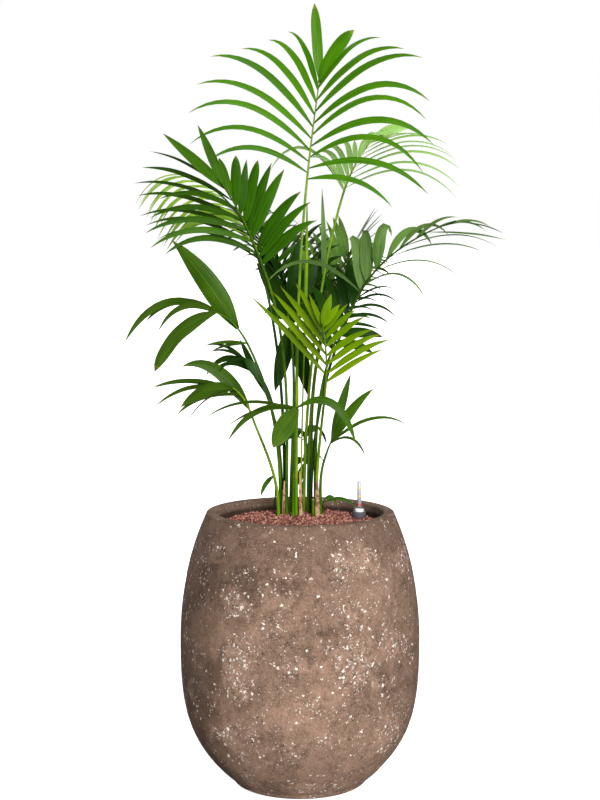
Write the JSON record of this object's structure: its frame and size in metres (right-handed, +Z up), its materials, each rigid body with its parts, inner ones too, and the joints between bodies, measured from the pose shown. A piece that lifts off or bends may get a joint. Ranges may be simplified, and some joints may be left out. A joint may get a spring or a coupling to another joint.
{
  "type": "potted kentia palm",
  "caption": "Potted kentia palm with arching feathered fronds on slender stalks, in a round barrel planter with an inner pot, clay granules and a water gauge.",
  "frame": {"origin": "centre of the planter's flat underside", "axes": "+Z up, -Y towards the front of the plant as pictured, +X to its right in that view"},
  "size_m": [0.7171, 0.6875, 1.5175],
  "materials": {
    "planter_stone": "rough matt brown stone mix with white flecks and small pits",
    "liner_plastic": "dull black moulded plastic",
    "clay_granules": "dull reddish-brown fired clay granules",
    "gauge_clear": "clear glossy plastic",
    "stalk_green": "smooth satin green stalk",
    "sheath_tan": "dry fibrous tan leaf base",
    "leaf_back": "very dark green leaf, satin, ribbed along its length",
    "leaf_centre_low": "fresh mid green leaf, satin, ribbed along its length",
    "leaf_left_back": "dark green leaf, satin, ribbed along its length",
    "leaf_left_front": "dark green leaf, satin, ribbed along its length",
    "leaf_left_low": "dark green leaf, satin, ribbed along its length",
    "leaf_left_mid": "dark green leaf, satin, ribbed along its length",
    "leaf_left_shoot": "dark green leaf, satin, ribbed along its length",
    "leaf_left_small": "dark green leaf, satin, ribbed along its length",
    "leaf_rear_left": "dark green leaf, satin, ribbed along its length",
    "leaf_rear_low": "dark green leaf, satin, ribbed along its length",
    "leaf_rear_right": "dark green leaf, satin, ribbed along its length",
    "leaf_right": "dark green leaf, satin, ribbed along its length",
    "leaf_right_back": "pale green leaf, satin, ribbed along its length",
    "leaf_right_far": "very dark green leaf, satin, ribbed along its length",
    "leaf_right_front": "fresh mid green leaf, satin, ribbed along its length",
    "leaf_right_low": "very dark green leaf, satin, ribbed along its length",
    "leaf_right_shoot": "dark green leaf, satin, ribbed along its length",
    "leaf_top": "fresh mid green leaf, satin, ribbed along its length",
    "leaf_young": "young yellow-green leaf, satin, ribbed along its length"
  },
  "bodies": {
    "root": {"cut_stub": "stalk_green", "dry_sheath_left": "sheath_tan", "dry_sheath_middle": "sheath_tan", "dry_sheath_right": "sheath_tan", "frond_back": "leaf_back", "frond_centre_low": "leaf_centre_low", "frond_left_back": "leaf_left_back", "frond_left_front": "leaf_left_front", "frond_left_low": "leaf_left_low", "frond_left_mid": "leaf_left_mid", "frond_left_shoot": "leaf_left_shoot", "frond_left_small": "leaf_left_small", "frond_rear_left": "leaf_rear_left", "frond_rear_low": "leaf_rear_low", "frond_rear_right": "leaf_rear_right", "frond_right": "leaf_right", "frond_right_back": "leaf_right_back", "frond_right_far": "leaf_right_far", "frond_right_front": "leaf_right_front", "frond_right_low": "leaf_right_low", "frond_right_shoot": "leaf_right_shoot", "frond_top": "leaf_top", "frond_young": "leaf_young", "growing_medium": "clay_granules", "inner_pot": "liner_plastic", "new_spear": "stalk_green", "planter": "planter_stone", "stalk_back": "stalk_green", "stalk_centre_low": "stalk_green", "stalk_left_back": "stalk_green", "stalk_left_front": "stalk_green", "stalk_left_low": "stalk_green", "stalk_left_mid": "stalk_green", "stalk_left_shoot": "stalk_green", "stalk_left_small": "stalk_green", "stalk_rear_left": "stalk_green", "stalk_rear_low": "stalk_green", "stalk_rear_right": "stalk_green", "stalk_right": "stalk_green", "stalk_right_back": "stalk_green", "stalk_right_far": "stalk_green", "stalk_right_front": "stalk_green", "stalk_right_low": "stalk_green", "stalk_right_shoot": "stalk_green", "stalk_top": "stalk_green", "stalk_young": "stalk_green", "water_gauge_bulb": "gauge_clear", "water_gauge_tube": "gauge_clear"}
  },
  "joints": []
}
